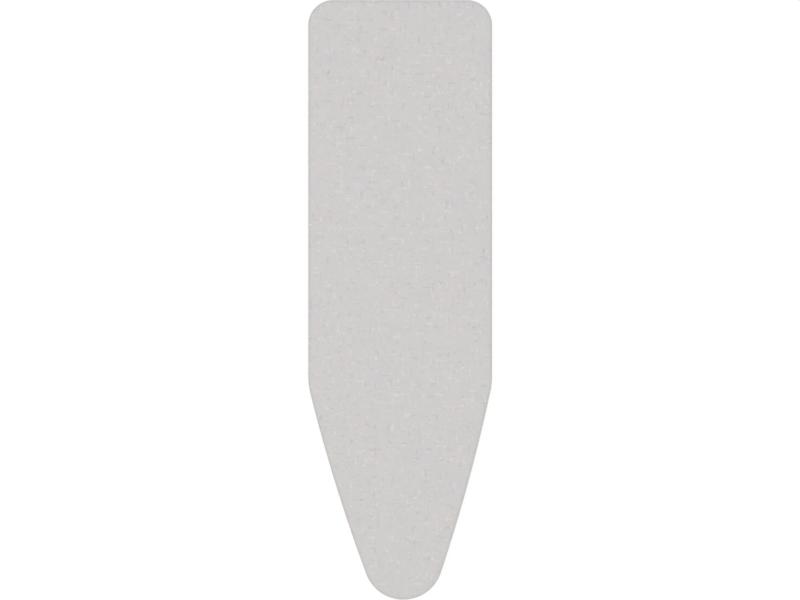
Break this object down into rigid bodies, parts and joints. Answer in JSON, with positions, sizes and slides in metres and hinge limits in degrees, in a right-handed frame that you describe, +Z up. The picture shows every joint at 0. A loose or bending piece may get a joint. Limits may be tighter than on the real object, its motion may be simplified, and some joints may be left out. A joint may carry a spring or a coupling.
{
  "type": "ironing board cover",
  "caption": "Padded ironing board cover, square at the heel and tapered to a round nose, with a gathered skirt on a drawcord, a cord lock and hooked elastic straps.",
  "frame": {"origin": "under the middle of the cover's outline, on the surface that the cover lies on", "axes": "+Z up out of the ironing surface, +Y along the cover to its square heel end, +X across it"},
  "size_m": [0.38, 1.24, 0.0392],
  "materials": {
    "metallised_cloth": "satin",
    "foam": "matte",
    "felt": "matte",
    "binding_tape": "matte",
    "cord": "matte",
    "elastic_webbing": "matte",
    "lock_plastic": "satin",
    "button_plastic": "satin",
    "hook_plastic": "satin",
    "spring_steel": "satin"
  },
  "bodies": {
    "cover": {"cover_fabric": "metallised_cloth", "foam_layer": "foam", "felt_pad": "felt", "hem_binding": "binding_tape", "drawcord": "cord", "cord_end": "lock_plastic", "strap_heel": "elastic_webbing", "strap_middle": "elastic_webbing", "strap_nose": "elastic_webbing"},
    "lock": {"lock_body": "lock_plastic", "lock_spring": "spring_steel"},
    "button": {"lock_button": "button_plastic"},
    "hook_heel_left": {"hook_heel_left": "hook_plastic"},
    "hook_heel_right": {"hook_heel_right": "hook_plastic"},
    "hook_middle_left": {"hook_middle_left": "hook_plastic"},
    "hook_middle_right": {"hook_middle_right": "hook_plastic"},
    "hook_nose_left": {"hook_nose_left": "hook_plastic"},
    "hook_nose_right": {"hook_nose_right": "hook_plastic"}
  },
  "joints": [
    {"name": "lock_slide", "type": "slide", "parent": "cover", "child": "lock", "axis": [0, -1, 0], "range_m": [0, 0.03]},
    {"name": "button_press", "type": "slide", "parent": "lock", "child": "button", "axis": [-1, 0, 0], "range_m": [0, 0.0035], "stiffness_N_per_m": 600, "deforming": ["lock_spring"]},
    {"name": "hook_heel_left_turn", "type": "hinge", "parent": "cover", "child": "hook_heel_left", "pos_m": [-0.122, 0.40216, 0.0029], "axis": [0, -1, 0], "range_deg": [0, 75]},
    {"name": "hook_heel_right_turn", "type": "hinge", "parent": "cover", "child": "hook_heel_right", "pos_m": [0.122, 0.40216, 0.0029], "axis": [0, 1, 0], "range_deg": [0, 75]},
    {"name": "hook_middle_left_turn", "type": "hinge", "parent": "cover", "child": "hook_middle_left", "pos_m": [-0.122, 0.14153, 0.0029], "axis": [0, -1, 0], "range_deg": [0, 75]},
    {"name": "hook_middle_right_turn", "type": "hinge", "parent": "cover", "child": "hook_middle_right", "pos_m": [0.122, 0.14153, 0.0029], "axis": [0, 1, 0], "range_deg": [0, 75]},
    {"name": "hook_nose_left_turn", "type": "hinge", "parent": "cover", "child": "hook_nose_left", "pos_m": [-0.122, -0.1191, 0.0029], "axis": [0, -1, 0], "range_deg": [0, 75]},
    {"name": "hook_nose_right_turn", "type": "hinge", "parent": "cover", "child": "hook_nose_right", "pos_m": [0.122, -0.1191, 0.0029], "axis": [0, 1, 0], "range_deg": [0, 75]}
  ]
}
